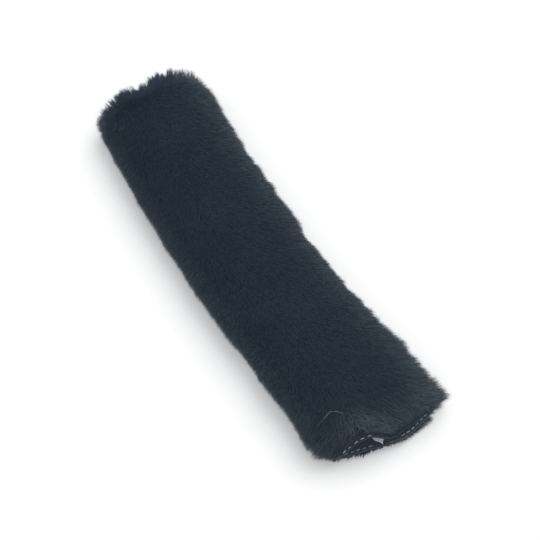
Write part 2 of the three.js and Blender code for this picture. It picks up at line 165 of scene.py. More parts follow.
@dataclass(frozen=True)
class TubeForm:
    """The inner face of the folded sheet. A turn of 2.25 is a quarter of the way along run 2."""

    length: float = 0.264
    straight_half: float = 0.0237
    fold_radius: float = 0.0046
    backing: float = 0.0014
    floor: float = 0.0064
    crown: float = 0.0012
    crown_skew: float = 0.45
    bow_depth: float = 0.0062
    bow_swing: float = 0.0010
    solid_bow_depth: float = 0.0044
    mouth_lift: float = 0.0014
    mouth_pinch: float = 0.0012
    mouth_reach: float = 0.045
    slit_place: float = -0.005
    slit_half: float = 0.00045
    gap_spread: float = 0.0021
    gap_start: float = 0.0020
    gap_peak: float = 0.0046
    gap_end: float = 0.020
    loop_tape_left: float = -0.01145
    loop_tape_inset: float = 0.0126
    draw_in: float = 0.035
    draw_in_reach: float = 0.016
    far_reach: float = 0.025
    far_across: tuple[float, ...] = (-1.4, -1.15, -0.95, -0.6, -0.25, 0.15, 0.6, 0.8, 1.0, 1.2)
    far_steps: tuple[float, ...] = (
        -0.0095, -0.0036, -0.0010, 0.0040, 0.0014, 0.0020, 0.0046, 0.0022, -0.0012, -0.0088)
    turn_probe: float = 0.002
    place_probe: float = 0.0004
    drape: MouthDrape = MouthDrape()

    @property
    def half(self) -> float:
        """Half the sheet's length."""
        return self.length / 2

    @property
    def shift(self) -> tuple[float, float]:
        """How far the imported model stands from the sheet's own middle, read from its loop tape."""
        low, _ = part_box("loop_tape")
        aside = low[1] - (self.loop_tape_left - 0.5 * self.solid_bow_depth)
        return low[0] + self.half - self.loop_tape_inset, aside

    def bow(self, x: Array) -> Array:
        """How far the middle line lies to the side at each place along the pad."""
        share = x / self.half
        return self.bow_depth * (share**2 - 0.5) + self.bow_swing * share**3

    def slit_spread(self, x: Array) -> Array:
        """How far each edge of the slit stands from the slit's middle."""
        inset = self.half - x
        rise = ease(inset, self.gap_start, self.gap_peak)
        opening = rise * (1 - ease(inset, self.gap_peak, self.gap_end))
        return self.slit_half * ease(inset, 0.0, self.gap_start) + self.gap_spread * opening

    def run_lengths(self, x: Array) -> Array:
        """The length of each run at each place along the pad, one row a run."""
        spread = self.slit_spread(x)
        fold = np.full_like(spread, math.pi * self.fold_radius)
        right = self.straight_half - self.slit_place - spread
        left = self.straight_half + self.slit_place - spread
        return np.stack([right, fold, np.full_like(spread, 2 * self.straight_half), fold, left])

    def turn_at(self, x: Array, distance: Array) -> Array:
        """The turn at a distance along the inner face from the slit's right edge.

        Args:
            x: Places along the pad.
            distance: Distances round the section, one for each place.

        Returns:
            The turns, from 0 to 5.
        """
        lengths = self.run_lengths(x)
        turn = np.zeros_like(distance)
        left = distance.copy()
        for run_length in lengths:
            turn += np.clip(left / run_length, 0.0, 1.0)
            left = left - run_length
        return turn

    def across(self, x: Array, turn: Array) -> Array:
        """How far to the side each place is, in half widths of the upper ply's straight part."""
        run = run_of(turn)
        share = turn - run
        spread = self.slit_spread(x)
        half = self.straight_half
        right = (self.slit_place + spread) * (1 - share) + half * share
        left = -half * (1 - share) + (self.slit_place - spread) * share
        bulge = half + self.fold_radius * np.sin(math.pi * share)
        return np.choose(run, [right, bulge, half * (1 - 2 * share), -bulge, left]) / half

    def surface(self, x: Array, turn: Array) -> Array:
        """The points of the inner face.

        Args:
            x: Places along the pad.
            turn: Turns round the section.

        Returns:
            The points, one a row.
        """
        run = run_of(turn)
        share = turn - run
        across = self.across(x, turn)
        inset = self.half - x
        crown = self.crown * (1 - across**2) * (1 - self.crown_skew * across)
        near = 1 - ease(inset, 0.0, self.mouth_reach)
        lift = self.mouth_lift * ease(-across, -0.25, 0.55) * (1 - ease(-across, 0.55, 1.0))
        pinch = self.mouth_pinch * ease(across, 0.0, 0.5) * (1 - ease(across, 0.5, 1.0))
        top = 2 * self.fold_radius + crown + near * (lift - pinch)
        rising = self.fold_radius * (1 - np.cos(math.pi * share))
        falling = self.fold_radius * (1 + np.cos(math.pi * share))
        level = np.zeros_like(x)
        z = np.choose(run, [level, rising, top, falling, level]) * self.drape.height(inset, across)
        lower = np.choose(run, [level + 1, 1 - ease(share, 0.0, 1.0), level,
                                ease(share, 0.0, 1.0), level + 1])
        far = 1 - ease(x + self.half, 0.0, self.far_reach)
        ahead = self.drape.step(inset, across, lower) - far * flowing(
            across, self.far_across, self.far_steps)
        along, aside = self.shift
        narrow = 1 - self.draw_in * (1 - ease(x + self.half, 0.0, self.draw_in_reach))
        y = across * self.straight_half * narrow + self.bow(x) + aside
        return np.stack([x + along + ahead, y, z + self.floor], axis=1)

    def section(self, x: Array, turn: Array) -> tuple[Array, Array, Array]:
        """The inner face and its directions.

        Args:
            x: Places along the pad.
            turn: Turns round the section.

        Returns:
            The points, their outward normals, and the directions in which the turn grows.
        """
        behind = np.maximum(turn - self.turn_probe, 0.0)
        ahead = np.minimum(turn + self.turn_probe, float(len(Run)))
        rounds = unit(self.surface(x, ahead) - self.surface(x, behind))
        alongs = unit(self.surface(x + self.place_probe, turn)
                      - self.surface(x - self.place_probe, turn))
        return self.surface(x, turn), unit(np.cross(rounds, alongs)), rounds


class Wire:
    """A shader socket that takes part in Python sums."""

    def __init__(self, bench: "Bench", socket: bpy.types.NodeSocket) -> None:
        """Keeps the socket and the bench that makes its nodes."""
        self.bench = bench
        self.socket = socket

    def _sum(self, operation: str, first: "Wire | float", second: "Wire | float") -> "Wire":
        """Adds a Math node.

        Args:
            operation: The node's operation.
            first: Its first value.
            second: Its second value.

        Returns:
            The node's result.
        """
        return self.bench.node("ShaderNodeMath", {"operation": operation}, {0: first, 1: second})

    def __add__(self, other: "Wire | float") -> "Wire":
        """This plus other."""
        return self._sum("ADD", self, other)

    def __radd__(self, other: float) -> "Wire":
        """Other plus this."""
        return self._sum("ADD", other, self)

    def __sub__(self, other: "Wire | float") -> "Wire":
        """This minus other."""
        return self._sum("SUBTRACT", self, other)

    def __rsub__(self, other: float) -> "Wire":
        """Other minus this."""
        return self._sum("SUBTRACT", other, self)

    def __mul__(self, other: "Wire | float") -> "Wire":
        """This times other."""
        return self._sum("MULTIPLY", self, other)

    def __rmul__(self, other: float) -> "Wire":
        """Other times this."""
        return self._sum("MULTIPLY", other, self)


class Bench:
    """Makes the nodes of one material."""

    def __init__(self, name: str) -> None:
        """Starts a material with an empty node tree."""
        self.material = bpy.data.materials.new(name)
        self.material.use_nodes = True
        self.tree = self.material.node_tree
        self.tree.nodes.clear()

    def node(self, kind: str, settings: dict[str, object] | None = None,
             inputs: dict[int | str, object] | None = None, output: int | str = 0) -> Wire:
        """Makes a node.

        Args:
            kind: The node's type.
            settings: Its properties. stops, for a ramp, is a list of places and colours.
            inputs: The values or wires of its sockets, by name or number.
            output: The socket that is handed back.

        Returns:
            The output's wire.
        """
        made = self.tree.nodes.new(kind)
        for name, value in (settings or {}).items():
            if name == "stops":
                ramp = made.color_ramp
                while len(ramp.elements) < len(value):
                    ramp.elements.new(0.5)
                for element, (place, colour) in zip(ramp.elements, value):
                    element.position = place
                    element.color = (*colour, 1.0)
            else:
                setattr(made, name, value)
        for key, value in (inputs or {}).items():
            if isinstance(value, Wire):
                self.tree.links.new(value.socket, made.inputs[key])
            elif isinstance(value, tuple) and len(value) == 3 and made.inputs[key].type == "RGBA":
                made.inputs[key].default_value = (*value, 1.0)
            else:
                made.inputs[key].default_value = value
        return Wire(self, made.outputs[output])

    def object_place(self) -> Wire:
        """The place on the piece, in metres."""
        return self.node("ShaderNodeTexCoord", output="Object")

    def attribute(self, name: str) -> Wire:
        """A number that the mesh carries."""
        return self.node("ShaderNodeAttribute", {"attribute_name": name}, output="Fac")

    def noise(self, place: Wire, scale: float, detail: float = 2.0) -> Wire:
        """Soft noise from 0 to 1.

        Args:
            place: Where it is read.
            scale: Its blobs per metre.
            detail: How many finer layers it has.

        Returns:
            The noise.
        """
        return self.node("ShaderNodeTexNoise", None,
                         {"Vector": place, "Scale": scale, "Detail": detail}, "Fac")

    def clamped(self, value: Wire) -> Wire:
        """A number held between 0 and 1."""
        return self.node("ShaderNodeClamp", None, {"Value": value, "Min": 0.0, "Max": 1.0})

    def mix(self, share: Wire | float, first: object, second: object) -> Wire:
        """A colour between two colours."""
        return self.node("ShaderNodeMix", {"data_type": "RGBA"},
                         {0: share, 6: first, 7: second}, 2)

    def finish(self, shader: Wire) -> bpy.types.Material:
        """Joins the shader to the material's output and hands back the material."""
        output = self.tree.nodes.new("ShaderNodeOutputMaterial")
        self.tree.links.new(shader.socket, output.inputs["Surface"])
        return self.material


# Black cloth on a bright floor never looks quite black, and this constant emission is a painted glow
# that lifts it.
PAINTED_GLOW: dict[str, object] = {"Emission Color": (0.0112, 0.0167, 0.0242), "Emission Strength": 1.0}


@dataclass(frozen=True)
class PileFinish:
    """Long plush fibres, with painted shade darkening them towards the root, a pale sheen where light
    grazes them, and paler colour painted where the nap catches the light.
    """

    name: str = "black_pile"
    root: Colour = (0.007, 0.0145, 0.026)
    tip: Colour = (0.125, 0.150, 0.165)
    bloom: float = 0.4
    bloom_tint: Colour = (0.62, 0.74, 0.86)
    # Painted shade: the colour darkens towards each strand's root, where the strands shade one
    # another.
    root_shade_by_reach: float = 0.07
    # Paler at random, and where the strands carry painted sheen.
    by_tone_and_sheen: float = 0.55
    by_patch: float = 0.03
    lowered: float = 0.005

    def material(self) -> bpy.types.Material:
        """Builds the material."""
        bench = Bench(self.name)
        reach = bench.attribute("reach")
        tone = bench.attribute("tone")
        patches = bench.noise(bench.object_place(), 70.0, 3.0)
        lightness = (reach * self.root_shade_by_reach + tone * self.by_tone_and_sheen + patches * self.by_patch
                     - self.lowered)
        colour = bench.mix(lightness, self.root, self.tip)
        # The constant emission added here is a painted glow.
        shader = bench.node("ShaderNodeBsdfPrincipled", None, {
            "Base Color": colour, "Roughness": 0.75, "Specular IOR Level": 0.12,
            "Sheen Weight": self.bloom, "Sheen Roughness": 0.42, "Sheen Tint": self.bloom_tint,
            **PAINTED_GLOW})
        return bench.finish(shader)


@dataclass(frozen=True)
class KnitFinish:
    """The sheet's knitted backing: fine ribs of loops with a dusty nap, with painted shade darkening
    the rib valleys.
    """

    name: str = "black_knit"
    valley_shade: Colour = (0.006, 0.009, 0.012)
    crest: Colour = (0.020, 0.027, 0.035)
    ribs_per_metre: float = 950.0

    def material(self) -> bpy.types.Material:
        """Builds the material."""
        bench = Bench(self.name)
        flat = bench.node("ShaderNodeUVMap", {"uv_map": "cut"}, output="UV")
        ribs = bench.node("ShaderNodeTexWave", {"wave_type": "BANDS", "bands_direction": "Y"}, {
            "Vector": flat, "Scale": self.ribs_per_metre / 3.2, "Distortion": 1.4,
            "Detail": 1.0, "Detail Scale": 2.0}, "Fac")
        loops = bench.node("ShaderNodeTexWave", {"wave_type": "BANDS", "bands_direction": "X"}, {
            "Vector": flat, "Scale": self.ribs_per_metre / 2.2, "Distortion": 1.0,
            "Detail": 1.0, "Detail Scale": 2.0}, "Fac")
        nap = bench.noise(bench.object_place(), 900.0, 3.0)
        height = ribs * 0.5 + loops * 0.3 + nap * 0.6
        # Painted shade: the colour darkens into the valleys of the ribs and loops.
        colour = bench.mix(height * 0.8 - 0.15, self.valley_shade, self.crest)
        bump = bench.node("ShaderNodeBump", None,
                          {"Strength": 0.6, "Distance": 0.0004, "Height": height})
        # The constant emission added here is a painted glow.
        shader = bench.node("ShaderNodeBsdfPrincipled", None, {
            "Base Color": colour, "Roughness": 0.9, "Sheen Weight": 0.08, "Normal": bump,
            "Sheen Roughness": 0.5, "Sheen Tint": (0.7, 0.8, 0.9), **PAINTED_GLOW})
        return bench.finish(shader)


@dataclass(frozen=True)
class TapeFinish:
    """Woven closing tape, dusty, whose cut end frays to pale threads past a slanted line."""

    name: str
    dark: Colour = (0.010, 0.013, 0.018)
    light: Colour = (0.030, 0.038, 0.048)
    roughness: float = 0.7
    frayed: Colour = (0.42, 0.43, 0.44)
    cut_past: float | None = None

    def material(self) -> bpy.types.Material:
        """Builds the material."""
        bench = Bench(self.name)
        place = bench.object_place()
        weft = bench.node("ShaderNodeTexWave", {"wave_type": "BANDS", "bands_direction": "X"}, {
            "Vector": place, "Scale": 420.0, "Distortion": 0.6}, "Fac")
        warp = bench.node("ShaderNodeTexWave", {"wave_type": "BANDS", "bands_direction": "Y"}, {
            "Vector": place, "Scale": 520.0, "Distortion": 0.6}, "Fac")
        dust = bench.noise(place, 1500.0, 2.0)
        weave = weft * 0.5 + warp * 0.5
        colour = bench.mix(weave * 0.6 + dust * 0.6 - 0.2, self.dark, self.light)
        if self.cut_past is not None:
            along = bench.node("ShaderNodeSeparateXYZ", None, {"Vector": place}, "X")
            aside = bench.node("ShaderNodeSeparateXYZ", None, {"Vector": place}, "Y")
            past = (along - aside * MOUTH_SLANT - self.cut_past) * 2500.0
            fray = bench.noise(place, 1100.0, 1.0) * 3.2 - 1.35
            colour = bench.mix(bench.clamped(past) * bench.clamped(fray), colour, self.frayed)
        bump = bench.node("ShaderNodeBump", None,
                          {"Strength": 0.5, "Distance": 0.0003, "Height": weave + dust * 0.4})
        # The constant emission added here is a painted glow.
        shader = bench.node("ShaderNodeBsdfPrincipled", None, {
            "Base Color": colour, "Roughness": self.roughness, "Normal": bump, **PAINTED_GLOW})
        return bench.finish(shader)


@dataclass(frozen=True)
class ThreadFinish:
    """Pale twisted sewing thread, greyed by the black fibres round it."""

    name: str
    dark: Colour = (0.17, 0.18, 0.19)
    light: Colour = (0.76, 0.78, 0.80)

    def material(self) -> bpy.types.Material:
        """Builds the material."""
        bench = Bench(self.name)
        place = bench.object_place()
        bands = {"wave_type": "BANDS", "bands_direction": "DIAGONAL"}
        twist = bench.node("ShaderNodeTexWave", bands,
                           {"Vector": place, "Scale": 900.0, "Distortion": 1.0}, "Fac")
        soil = bench.noise(place, 210.0, 2.0)
        colour = bench.mix(twist * 0.35 + soil * 1.7 - 0.58, self.dark, self.light)
        bump = bench.node("ShaderNodeBump", None,
                          {"Strength": 0.5, "Distance": 0.0001, "Height": twist})
        shader = bench.node("ShaderNodeBsdfPrincipled", None,
                            {"Base Color": colour, "Roughness": 0.65, "Normal": bump})
        return bench.finish(shader)


def add_mesh(name: str, points: Array, faces: Array) -> bpy.types.Object:
    """Makes an object from arrays.

    Args:
        name: The piece's name.
        points: Its vertices, one a row.
        faces: Its triangles, as rows of three vertex numbers.

    Returns:
        The object, linked to the scene.
    """
    mesh = bpy.data.meshes.new(name)
    mesh.vertices.add(len(points))
    mesh.vertices.foreach_set("co", points.astype(np.float32).ravel())
    mesh.loops.add(faces.size)
    mesh.loops.foreach_set("vertex_index", faces.astype(np.int32).ravel())
    mesh.polygons.add(len(faces))
    mesh.polygons.foreach_set("loop_start", np.arange(0, faces.size, 3, dtype=np.int32))
    mesh.update(calc_edges=True)
    piece = bpy.data.objects.new(name, mesh)
    bpy.context.scene.collection.objects.link(piece)
    return piece


def take_mesh(piece: bpy.types.Object) -> tuple[Array, Array]:
    """The vertices and triangles of a modelled master piece, which is then removed.

    Args:
        piece: The master.

    Returns:
        Its points, and its triangles as rows of three vertex numbers.
    """
    mesh = piece.data
    points = np.empty(len(mesh.vertices) * 3, np.float32)
    mesh.vertices.foreach_get("co", points)
    mesh.calc_loop_triangles()
    faces = np.empty(len(mesh.loop_triangles) * 3, np.int32)
    mesh.loop_triangles.foreach_get("vertices", faces)
    bpy.data.objects.remove(piece)
    # Blender lists a primitive's faces in another order in each run, so they are sorted here.
    faces = faces.reshape(-1, 3)
    return points.reshape(-1, 3).astype(float), faces[np.lexsort(faces.T)]


def deselect() -> None:
    """Leaves nothing selected, so that an operator acts on what it makes next."""
    if bpy.context.view_layer.objects.active and bpy.context.mode != "OBJECT":
        bpy.ops.object.mode_set(mode="OBJECT")
    bpy.ops.object.select_all(action="DESELECT")


def dress(piece: bpy.types.Object, material: bpy.types.Material) -> None:
    """Gives a piece its material, and lets it ride on the pad.

    Args:
        piece: The piece.
        material: Its only material.
    """
    piece.data.materials.clear()
    piece.data.materials.append(material)
    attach(piece, "root")


@dataclass
class BackingSheet:
    """The knitted sheet that carries the pile, folded from its flat cut, with both hems turned."""

    form: TubeForm
    hem_depth: float = 0.0072
    wall: float = 0.0010
    middle: float = 0.00085
    hem_bend: float = 0.00052
    seam_inset: float = 0.0018
    seam_pull: float = 0.0003
    seam_pull_reach: float = 0.0011
    crowding: float = 1.6
    cells_along: int = 190
    cells_round: int = 126

    def _hem_path(self, reach: Array) -> tuple[Array, Array]:
        """Follows the sheet along the pad and round its turned ends.

        Args:
            reach: Distances along the flat sheet from its middle.

        Returns:
            The place along the pad, and the height of the sheet's middle over the inner face.
        """
        bend = self.hem_bend
        edge = self.form.half - bend - self.wall / 2
        past = np.abs(reach) - edge
        angle = np.clip(past / bend, 0.0, math.pi)
        back = np.maximum(past - math.pi * bend, 0.0)
        place = np.minimum(np.abs(reach), edge) + bend * np.sin(angle) - back
        height = self.middle - bend * (1 - np.cos(angle))
        from_seam = np.abs(self.form.half - place - self.seam_inset)
        pull = 1 - ease(from_seam, 0.0, self.seam_pull_reach)
        height = height + self.seam_pull * pull * np.where(angle > math.pi / 2, 1.0, -1.0)
        return np.sign(reach) * place, height

    def build(self) -> bpy.types.Object:
        """Models the sheet.

        Returns:
            The finished piece.
        """
        deselect()
        bpy.ops.mesh.primitive_grid_add(
            x_subdivisions=self.cells_along, y_subdivisions=self.cells_round, size=2.0)
        sheet = bpy.context.active_object
        sheet.name = sheet.data.name = "plush_backing"
        mesh = sheet.data
        flat = np.empty(len(mesh.vertices) * 3, np.float32)
        mesh.vertices.foreach_get("co", flat)
        flat = flat.reshape(-1, 3).astype(float)
        # The cells crowd together at the two ends, where the hems turn.
        along = flat[:, 0]
        whole = self.form.half - self.wall / 2 + self.hem_bend * (math.pi - 1) + self.hem_depth
        reach = whole * np.sign(along) * (1 - (1 - np.abs(along)) ** self.crowding)
        place, height = self._hem_path(reach)
        total = self.form.run_lengths(place).sum(axis=0)
        distance = (flat[:, 1] + 1) / 2 * total
        points, normals, _ = self.form.section(place, self.form.turn_at(place, distance))
        made = points + normals * height[:, None]
        mesh.vertices.foreach_set("co", made.astype(np.float32).ravel())
        cut = mesh.uv_layers.new(name="cut")
        corner = np.empty(len(mesh.loops), np.int32)
        mesh.loops.foreach_get("vertex_index", corner)
        spot = np.stack([reach[corner], distance[corner]], axis=1)
        cut.data.foreach_set("uv", spot.astype(np.float32).ravel())
        mesh.update()
        bpy.ops.object.modifier_add(type="SOLIDIFY")
        sheet.modifiers[-1].thickness = self.wall
        sheet.modifiers[-1].offset = 0.0
        bpy.ops.object.modifier_apply(modifier=sheet.modifiers[-1].name)
        bpy.ops.object.mode_set(mode="EDIT")
        bpy.ops.mesh.select_all(action="SELECT")
        bpy.ops.mesh.normals_make_consistent(inside=False)
        bpy.ops.object.mode_set(mode="OBJECT")
        bpy.ops.object.shade_smooth()
        dress(sheet, KnitFinish().material())
        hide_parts("plush_cover")
        return sheet


@dataclass(frozen=True)
class PileLie:
    """How the pile stands: its length, its partings, and which way it is combed.

    Tables of places run along the pad, tables of across run across it, and round_turns runs round
    the section.
    """

    form: TubeForm
    length: float = 0.0074
    fold_length: float = 0.0011
    ripple_depth: float = 0.0006
    ripple_length: float = 0.034
    parting_depth: float = 0.0015
    parting_width: float = 0.006
    parting_turn: float = 1.60
    partings_from_mouth: tuple[float, ...] = (0.082, 0.126, 0.172, 0.197)
    tuft_depth: float = 0.0015
    tuft_length: float = 0.0095
    right_places: tuple[float, ...] = (
        -0.132, -0.100, -0.050, -0.020, 0.020, 0.050, 0.080, 0.120, 0.132)
    right_extra: tuple[float, ...] = (
        0.0036, 0.0020, 0.0008, 0.0007, -0.0006, -0.0004, 0.0021, 0.0026, 0.0014)
    left_places: tuple[float, ...] = (
        -0.132, -0.100, -0.060, -0.020, 0.020, 0.060, 0.080, 0.100, 0.115, 0.132)
    left_extra: tuple[float, ...] = (
        0.0003, -0.0002, 0.0002, 0.0008, 0.0005, -0.0006, -0.0001, 0.0001, 0.0029, -0.0010)
    end_taper: float = 0.011
    end_share: float = 0.5
    right_end_share: float = 0.95
    left_end_less: float = 0.10
    far_end_share: float = 0.92
    slit_share: float = 0.12
    slit_taper: float = 0.007
    stub: float = 0.0009
    bare_stub_share: float = 0.4
    band_across: tuple[float, ...] = (-1.2, -0.9, -0.2, 0.1, 0.9, 1.2)
    bands: tuple[float, ...] = (0.0012, 0.0026, 0.0024, 0.0022, 0.0022, 0.0008)
    flap_band: float = 0.0012
    far_band: float = 0.0010
    band_edge: float = 0.0004
    gather_loose: float = 0.02
    gather_folds: float = 0.21
    gather_far: float = 0.55
    gather_corner: float = 0.45
    gather_right_hem: float = 0.45
    gather_left_hem: float = 0.7
    gather_upper_hem: float = 0.05
    gather_most: float = 0.75
    lean: float = 0.95
    fold_lean_less: float = 0.50
    flap_hem_lean: float = 0.95
    left_hem_lean: float = -0.55
    corner_lean: float = 0.17
    far_lean: float = -1.9
    swirl: float = 0.03
    round_turns: tuple[float, ...] = (0.0, 0.9, 1.0, 1.5, 2.0, 2.5, 3.0, 3.5, 4.0, 4.1, 5.0)
    round_leans: tuple[float, ...] = (
        1.9, 1.9, 0.5, -0.1, -0.40, -0.1, 0.30, 0.1, -0.5, -1.9, -1.9)
    # Painted sheen: how much paler the pile is painted along the right fold, in patches and near the
    # mouth's hem.
    fold_bloom: float = 0.68
    patch_bloom: float = 0.08
    bloom_across: tuple[float, ...] = (-1.2, -0.95, -0.6, 0.0, 0.5, 1.0, 1.2)
    hem_bloom: tuple[float, ...] = (0.20, 0.70, 2.00, 1.55, 0.88, 0.90, 0.7)

    def at_fold(self, turn: Array, fold: float, core: float, reach: float) -> Array:
        """How near a turn is to the middle of a fold, from 0 to 1."""
        return 1 - ease(np.abs(turn - fold), core, reach)

    def at_folds(self, turn: Array, core: float, reach: float) -> Array:
        """How near a turn is to the middle of either fold, from 0 to 1."""
        return 1 - ease(np.abs(np.abs(turn - 2.5) - 1.0), core, reach)

    def band_at(self, x: Array, turn: Array) -> Array:
        """The width of the hem that the long pile leaves bare at the nearer end."""
        upper = flowing(self.form.across(x, turn), self.band_across, self.bands)
        mouth = np.where(on_flaps(turn), self.flap_band, upper)
        return np.where(x > 0, mouth, self.far_band)

    def end_share_at(self, x: Array, turn: Array) -> Array:
        """How much of its length the pile keeps at the nearer hem."""
        right = self.at_fold(turn, 1.5, 0.35, 0.75)
        left = self.at_fold(turn, 3.6, 0.45, 0.85)
        across = self.form.across(x, turn)
        lower = 0.12 + 0.08 * ease(across, -0.9, -0.6) + 0.16 * ease(across, 0.35, 0.75)
        upper = (self.end_share + (self.right_end_share - self.end_share) * right
                 - self.left_end_less * left)
        return np.where(x > 0, np.where(on_flaps(turn), lower, upper), self.far_end_share)

    def gather_at(self, x: Array, turn: Array) -> Array:
        """How strongly the strands are drawn together into pointed locks."""
        inset = self.form.half - x
        far = 1 - ease(self.form.half + x, 0.0, 0.010)
        hem = np.where(turn > Run.LEFT_FLAP.value, self.gather_left_hem, self.gather_upper_hem)
        hem = np.where(turn < Run.RIGHT_FOLD.value, self.gather_right_hem, hem)
        corner = (1 - ease(inset, 0.006, 0.022)) * self.at_fold(turn, 3.5, 0.3, 0.6)
        gathered = (self.gather_loose + self.gather_folds * self.at_folds(turn, 0.05, 0.36)
                    + self.gather_far * far + self.gather_corner * corner
                    + (1 - ease(inset, 0.0, 0.006)) * hem)
        return np.clip(gathered, 0.0, self.gather_most)

    def _relief(self, x: Array, turn: Array, right: Array, left: Array) -> Array:
        """How much longer or shorter than usual the pile is, away from its edges.

        Args:
            x: Places along the pad.
            turn: Turns round the section.
            right: How near each turn is to the right fold.
            left: How near each turn is to the left fold.

        Returns:
            The lengths to add.
        """
        wave = np.sin(2 * math.pi * x / self.ripple_length + 2.1 * turn)
        drift = np.sin(2 * math.pi * x / (2.3 * self.ripple_length) - 1.7 * turn)
        relief = self.ripple_depth * (0.6 * wave + 0.4 * drift)
        about = 1 - ease(np.abs(turn - self.parting_turn), 0.0, 0.42)
        for from_mouth in self.partings_from_mouth:
            along = np.abs(self.form.half - from_mouth - x)
            parting = 1 - ease(along, 0.0, self.parting_width)
            relief = relief - self.parting_depth * parting * about
        for near, places, extra in ((right, self.right_places, self.right_extra),
                                    (left, self.left_places, self.left_extra)):
            relief = relief + near * (self.fold_length + flowing(x, places, extra))
        tuft = x / self.tuft_length + 0.35 * np.sin(2 * math.pi * x / 0.041 + 1.3)
        tuft = tuft - np.floor(tuft) - 0.5
        return relief + self.tuft_depth * tuft * (right + 0.5 * left)

    def _slit_cut(self, x: Array, turn: Array) -> Array:
        """How much of its length the pile keeps beside the slit."""
        lengths = self.form.run_lengths(x)
        run = run_of(turn)
        share = turn - run
        first, last = Run.RIGHT_FLAP.value, Run.LEFT_FLAP.value
        from_slit = np.where(run == first, lengths[first] * share,
                             np.where(run == last, lengths[last] * (1 - share), 1.0))
        return self.slit_share + (1 - self.slit_share) * ease(from_slit, 0.0, self.slit_taper)

    def length_at(self, x: Array, turn: Array) -> Array:
        """The pile's length over the sheet.

        Args:
            x: Places along the pad.
            turn: Turns round the section.

        Returns:
            The lengths of full strands there.
        """
        right, left = self.at_fold(turn, 1.5, 0.2, 0.8), self.at_fold(turn, 3.5, 0.2, 0.8)
        inset = self.form.half - np.abs(x)
        band = self.band_at(x, turn)
        slow = ease(inset, band, self.end_taper)
        rise = slow + (np.sqrt(slow) - slow) * (1 - 0.5 * left * (x > 0))
        least = self.end_share_at(x, turn)
        end = least + (1 - least) * rise
        full = (self.length + self._relief(x, turn, right, left)) * end * self._slit_cut(x, turn)
        bare = seen_from_above(turn) & (self.form.across(x, turn) < -0.1) & (x > 0)
        stub = self.stub * np.where(bare, self.bare_stub_share, 1.0)
        return stub + (full - stub) * ease(inset, band - self.band_edge, band + self.band_edge)

    def comb(self, x: Array, turn: Array) -> tuple[Array, Array]:
        """Which way the strands lean, along the pad and round it.

        Args:
            x: Places along the pad.
            turn: Turns round the section.

        Returns:
            The lean along X, and the lean in the direction in which the turn grows.
        """
        inset = self.form.half - x
        left = 1 - ease(self.form.across(x, turn), -0.75, 0.45)
        folds = self.at_folds(turn, 0.25, 0.75)
        hem = np.where(on_flaps(turn), self.flap_hem_lean, self.left_hem_lean * left)
        corner = (1 - ease(inset, 0.004, 0.034)) * folds
        along = self.lean - self.fold_lean_less * folds + hem * (1 - ease(inset, 0.001, 0.012))
        along = along + (self.corner_lean - along) * corner
        along = along + self.far_lean * (1 - ease(self.form.half + x, 0.0, 0.013))
        swirl = np.sin(95.0 * x + 1.9 * turn) + 0.7 * np.sin(61.0 * x - 3.3 * turn + 1.1)
        whirl = np.sin(78.0 * x - 2.6 * turn + 0.6) + 0.7 * np.sin(143.0 * x + 1.4 * turn)
        about = np.interp(turn, self.round_turns, self.round_leans)
        return along + self.swirl * swirl, about + self.swirl * whirl

    def painted_sheen_at(self, x: Array, turn: Array) -> Array:
        """How much paler the pile's colour is painted where its nap catches the light, from 0 to 2.
        """
        fold = self.at_fold(turn, 1.66, 0.15, 0.56)
        inset = self.form.half - x
        wide = flowing(self.form.across(x, turn), self.bloom_across, self.hem_bloom)
        hem = (1 - ease(inset, 0.006, 0.024)) * ease(inset, 0.0005, 0.005) * wide
        patch = 0.5 + 0.25 * np.sin(88.0 * x + 4.0 * turn) + 0.25 * np.sin(131.0 * x - 7.0 * turn)
        return np.clip(self.fold_bloom * fold + hem + self.patch_bloom * patch, 0.0, 2.0)


@dataclass(frozen=True)
class PilePatch:
    """One field of strands on one run of the section, which is one piece of the pile."""

    name: str
    run: Run
    places: tuple[float, float]
    density: float
    width: float = 0.00032
    stretch: float = 1.0


@dataclass
class Strands:
    """Where the strands of one field are rooted, and the locks and tresses that they belong to."""

    x: Array
    turn: Array
    root: Array
    normal: Array
    around: Array
    to_lock: Array
    lock: tuple[Array, Array]
    tress: tuple[Array, Array]


